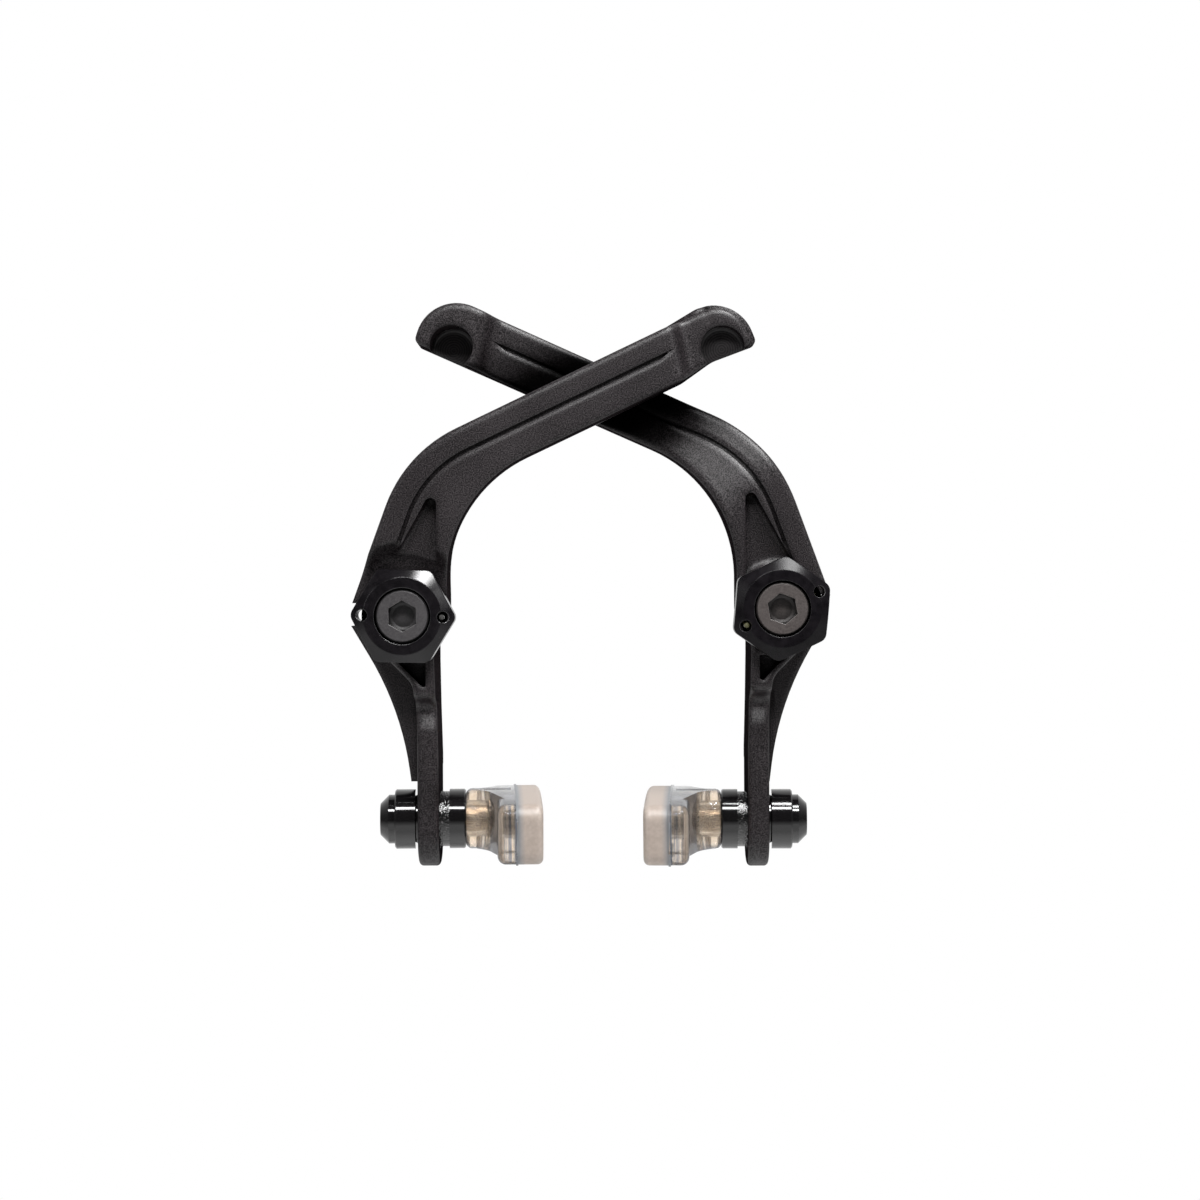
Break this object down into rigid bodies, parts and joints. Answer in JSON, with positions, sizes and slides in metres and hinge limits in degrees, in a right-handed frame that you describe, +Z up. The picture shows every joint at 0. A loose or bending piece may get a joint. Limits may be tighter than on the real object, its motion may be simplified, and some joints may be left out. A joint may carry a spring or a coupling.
{
  "type": "bicycle u-brake",
  "caption": "Bicycle U-brake: bent arms that cross above the tyre on side pivots, with spring tension nuts, cable seats in the tips and adjustable clear pads.",
  "frame": {"origin": "midway between the two pivot axes, on the plane where the sleeves stand on the frame studs", "axes": "+X to the right seen from the front, +Y back towards the frame, +Z up towards the cable seats"},
  "size_m": [0.1074, 0.0512, 0.1279],
  "materials": {
    "black_anodised_aluminium": "black anodised over a fine blasted surface",
    "bushing_bronze": "turned bronze",
    "sleeve_steel": "ground steel",
    "spring_steel": "drawn wire, yellow zinc",
    "black_nut": "black anodised, machined chamfers",
    "bolt_steel": "dark phosphate",
    "clear_pad": "clear smoky moulding",
    "stud_steel": "zinc",
    "black_washer": "black anodised, turned"
  },
  "bodies": {
    "studs": {"left_pivot_sleeve": "sleeve_steel", "left_pivot_bolt": "bolt_steel", "right_pivot_sleeve": "sleeve_steel", "right_pivot_bolt": "bolt_steel"},
    "left_arm_body": {"left_arm": "black_anodised_aluminium", "left_pivot_bushing": "bushing_bronze"},
    "left_pad_body": {"left_brake_pad": "clear_pad", "left_pad_stud": "stud_steel", "left_pad_inner_ball_washer": "black_washer", "left_pad_inner_cup_washer": "black_washer", "left_pad_outer_ball_washer": "black_washer", "left_pad_outer_cup_washer": "black_washer", "left_pad_nut": "black_nut"},
    "left_nut_body": {"left_tension_nut": "black_nut", "left_return_spring": "spring_steel"},
    "right_arm_body": {"right_arm": "black_anodised_aluminium", "right_pivot_bushing": "bushing_bronze"},
    "right_pad_body": {"right_brake_pad": "clear_pad", "right_pad_stud": "stud_steel", "right_pad_inner_ball_washer": "black_washer", "right_pad_inner_cup_washer": "black_washer", "right_pad_outer_ball_washer": "black_washer", "right_pad_outer_cup_washer": "black_washer", "right_pad_nut": "black_nut"},
    "right_nut_body": {"right_tension_nut": "black_nut", "right_return_spring": "spring_steel"}
  },
  "joints": [
    {"name": "left_arm_pivot", "type": "hinge", "parent": "studs", "child": "left_arm_body", "pos_m": [-0.0415, 0, 0], "axis": [0, -1, 0], "range_deg": [-12, 9], "stiffness_Nm_per_rad": 1.5, "deforming": ["left_return_spring"]},
    {"name": "left_pad_height", "type": "slide", "parent": "left_arm_body", "child": "left_pad_body", "axis": [0.0148, 0, 0.9999], "range_m": [-0.003, 0.001]},
    {"name": "left_tension_turn", "type": "hinge", "parent": "studs", "child": "left_nut_body", "pos_m": [-0.0415, 0, 0], "axis": [0, -1, 0], "range_deg": [-20, 20], "deforming": ["left_return_spring"]},
    {"name": "right_arm_pivot", "type": "hinge", "parent": "studs", "child": "right_arm_body", "pos_m": [0.0415, 0, 0], "axis": [0, 1, 0], "range_deg": [-12, 9], "stiffness_Nm_per_rad": 1.5, "deforming": ["right_return_spring"]},
    {"name": "right_pad_height", "type": "slide", "parent": "right_arm_body", "child": "right_pad_body", "axis": [0.0148, 0, 0.9999], "range_m": [-0.003, 0.001]},
    {"name": "right_tension_turn", "type": "hinge", "parent": "studs", "child": "right_nut_body", "pos_m": [0.0415, 0, 0], "axis": [0, -1, 0], "range_deg": [-20, 20], "deforming": ["right_return_spring"]}
  ]
}
